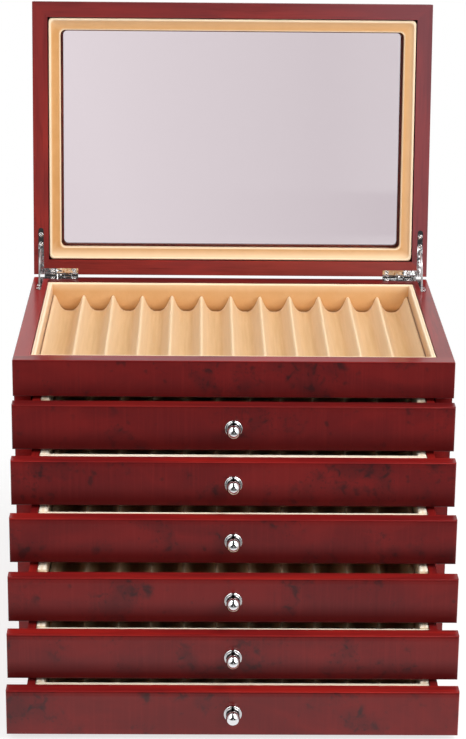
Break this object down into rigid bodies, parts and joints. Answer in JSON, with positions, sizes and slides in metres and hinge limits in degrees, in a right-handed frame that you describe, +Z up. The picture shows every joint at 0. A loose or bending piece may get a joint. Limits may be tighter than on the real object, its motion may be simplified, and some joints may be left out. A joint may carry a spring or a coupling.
{
  "type": "pen collector chest",
  "caption": "Lacquered wooden chest for pens: a hinged glazed lid over a grooved tray, and a stack of grooved drawers with round knobs.",
  "frame": {"origin": "middle of the carcass's footprint, on the surface that the chest stands on", "axes": "+Z up, +X to the right as seen from the front, drawers pull out towards -Y"},
  "size_m": [0.33, 0.4088, 0.4817],
  "materials": {
    "lacquered_wood": "satin red-brown lacquer",
    "burl_front": "glossy lacquer over burl figure",
    "board": "stained thin board",
    "suede": "short-napped suede cloth over card",
    "felt": "felt",
    "glass": "clear",
    "chrome": "polished"
  },
  "bodies": {
    "case": {"side_panel_left": "lacquered_wood", "side_panel_right": "lacquered_wood", "top_front_rail": "burl_front", "top_back_rail": "lacquered_wood", "back_panel": "lacquered_wood", "base_panel": "lacquered_wood", "base_felt": "felt", "drawer_shelves": "board", "compartment_floor": "board", "compartment_lining": "suede", "compartment_tray": "suede", "body_hinge_left": "chrome", "body_hinge_right": "chrome", "body_hinge_screws": "chrome"},
    "lid": {"lid_front_rail": "lacquered_wood", "lid_back_rail": "lacquered_wood", "lid_side_rails": "lacquered_wood", "lid_glass": "glass", "lid_lining": "suede", "lid_hinge_plate_left": "chrome", "lid_hinge_plate_right": "chrome", "lid_hinge_screws": "chrome"},
    "stay_left": {"lid_stay_left": "chrome"},
    "stay_right": {"lid_stay_right": "chrome"},
    "drawer_1": {"drawer_1_front": "burl_front", "drawer_1_knob": "chrome", "drawer_1_walls": "lacquered_wood", "drawer_1_bottom": "board", "drawer_1_lining": "suede", "drawer_1_tray": "suede"},
    "drawer_2": {"drawer_2_front": "burl_front", "drawer_2_knob": "chrome", "drawer_2_walls": "lacquered_wood", "drawer_2_bottom": "board", "drawer_2_lining": "suede", "drawer_2_tray": "suede"},
    "drawer_3": {"drawer_3_front": "burl_front", "drawer_3_knob": "chrome", "drawer_3_walls": "lacquered_wood", "drawer_3_bottom": "board", "drawer_3_lining": "suede", "drawer_3_tray": "suede"},
    "drawer_4": {"drawer_4_front": "burl_front", "drawer_4_knob": "chrome", "drawer_4_walls": "lacquered_wood", "drawer_4_bottom": "board", "drawer_4_lining": "suede", "drawer_4_tray": "suede"},
    "drawer_5": {"drawer_5_front": "burl_front", "drawer_5_knob": "chrome", "drawer_5_walls": "lacquered_wood", "drawer_5_bottom": "board", "drawer_5_lining": "suede", "drawer_5_tray": "suede"},
    "drawer_6": {"drawer_6_front": "burl_front", "drawer_6_knob": "chrome", "drawer_6_walls": "lacquered_wood", "drawer_6_bottom": "board", "drawer_6_lining": "suede", "drawer_6_tray": "suede"}
  },
  "joints": [
    {"name": "lid_hinge", "type": "hinge", "parent": "case", "child": "lid", "pos_m": [0, 0.1145, 0.2564], "axis": [1, 0, 0], "range_deg": [0, 97.9]},
    {"name": "stay_left_swing", "type": "hinge", "parent": "case", "child": "stay_left", "pos_m": [0, 0.1145, 0.2564], "axis": [1, 0, 0], "range_deg": [0, 48.97]},
    {"name": "stay_right_swing", "type": "hinge", "parent": "case", "child": "stay_right", "pos_m": [0, 0.1145, 0.2564], "axis": [1, 0, 0], "range_deg": [0, 48.97]},
    {"name": "drawer_1_slide", "type": "slide", "parent": "case", "child": "drawer_1", "axis": [0, -1, 0], "range_m": [-0.0142, 0.1358]},
    {"name": "drawer_2_slide", "type": "slide", "parent": "case", "child": "drawer_2", "axis": [0, -1, 0], "range_m": [-0.0329, 0.1171]},
    {"name": "drawer_3_slide", "type": "slide", "parent": "case", "child": "drawer_3", "axis": [0, -1, 0], "range_m": [-0.054, 0.096]},
    {"name": "drawer_4_slide", "type": "slide", "parent": "case", "child": "drawer_4", "axis": [0, -1, 0], "range_m": [-0.0769, 0.0731]},
    {"name": "drawer_5_slide", "type": "slide", "parent": "case", "child": "drawer_5", "axis": [0, -1, 0], "range_m": [-0.095, 0.055]},
    {"name": "drawer_6_slide", "type": "slide", "parent": "case", "child": "drawer_6", "axis": [0, -1, 0], "range_m": [-0.1112, 0.0388]}
  ],
  "couplings": [
    {"joint": "stay_left_swing", "follows": "lid_hinge", "ratio": 0.5},
    {"joint": "stay_right_swing", "follows": "lid_hinge", "ratio": 0.5}
  ]
}
